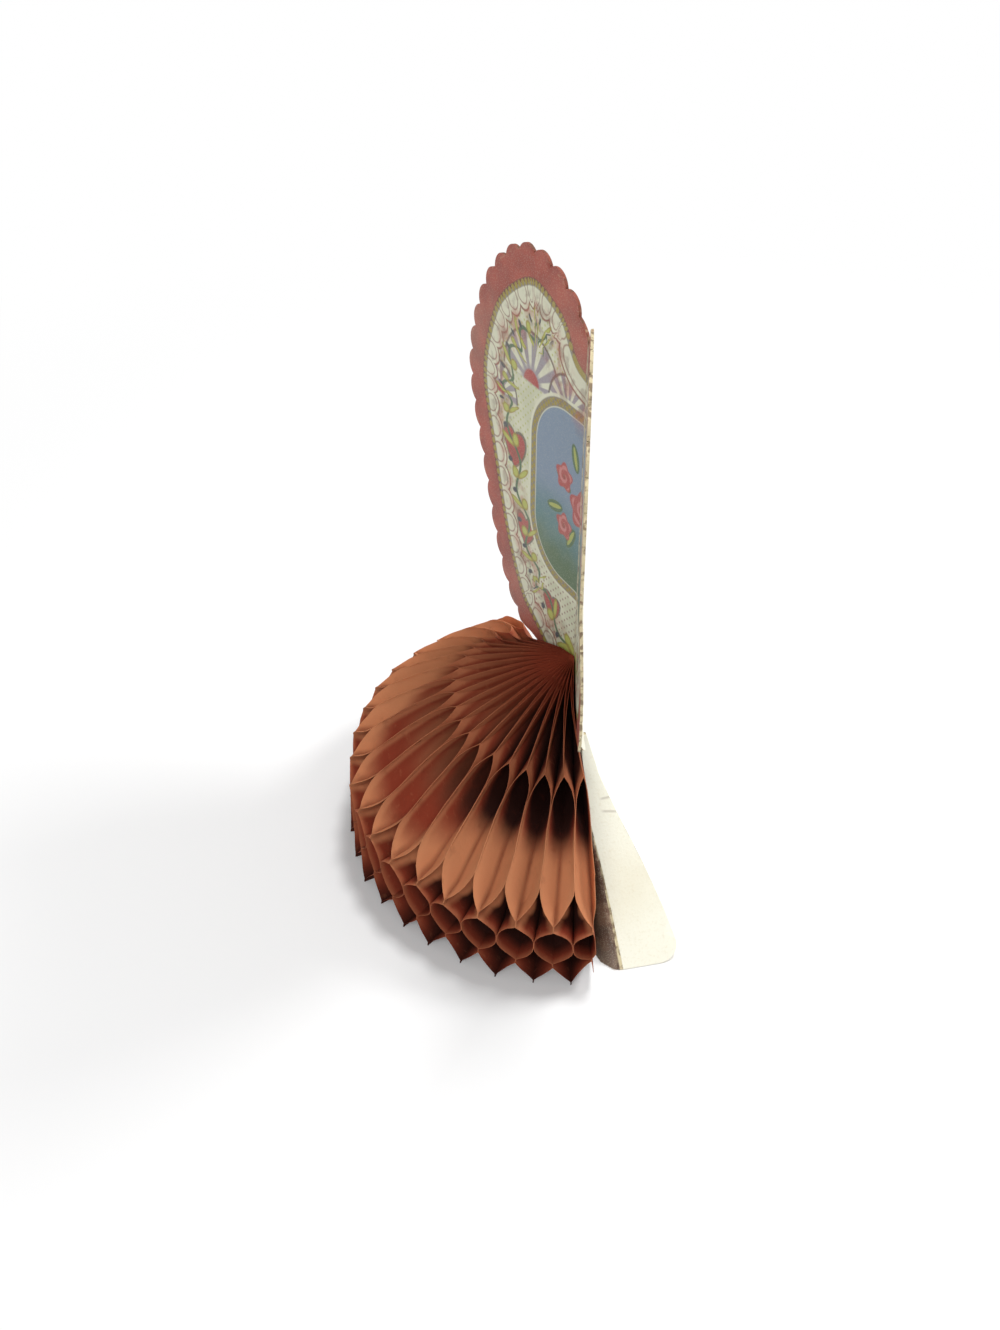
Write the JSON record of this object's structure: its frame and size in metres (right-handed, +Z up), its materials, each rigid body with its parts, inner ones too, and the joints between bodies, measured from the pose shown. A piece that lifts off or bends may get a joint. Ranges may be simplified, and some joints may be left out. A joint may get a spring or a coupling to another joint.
{
  "type": "honeycomb paper heart",
  "caption": "Stand-up heart-shaped greeting card with a scalloped border, a centre crease, two folded-back side wings and a half-round honeycomb tissue fan at its foot.",
  "frame": {"origin": "foot of the honeycomb's glued spine on the table, at the middle of the standing edge", "axes": "+Z up, -Y out of the printed front where the fan opens, +X towards the side seen nearest"},
  "size_m": [0.1188, 0.0749, 0.1546],
  "materials": {
    "printed_card": "satin coated print in front, bare cream board behind",
    "tissue": "matt thin rust-orange tissue"
  },
  "bodies": {
    "root": {"heart_card": "printed_card", "honeycomb_fan": "tissue"}
  },
  "joints": []
}
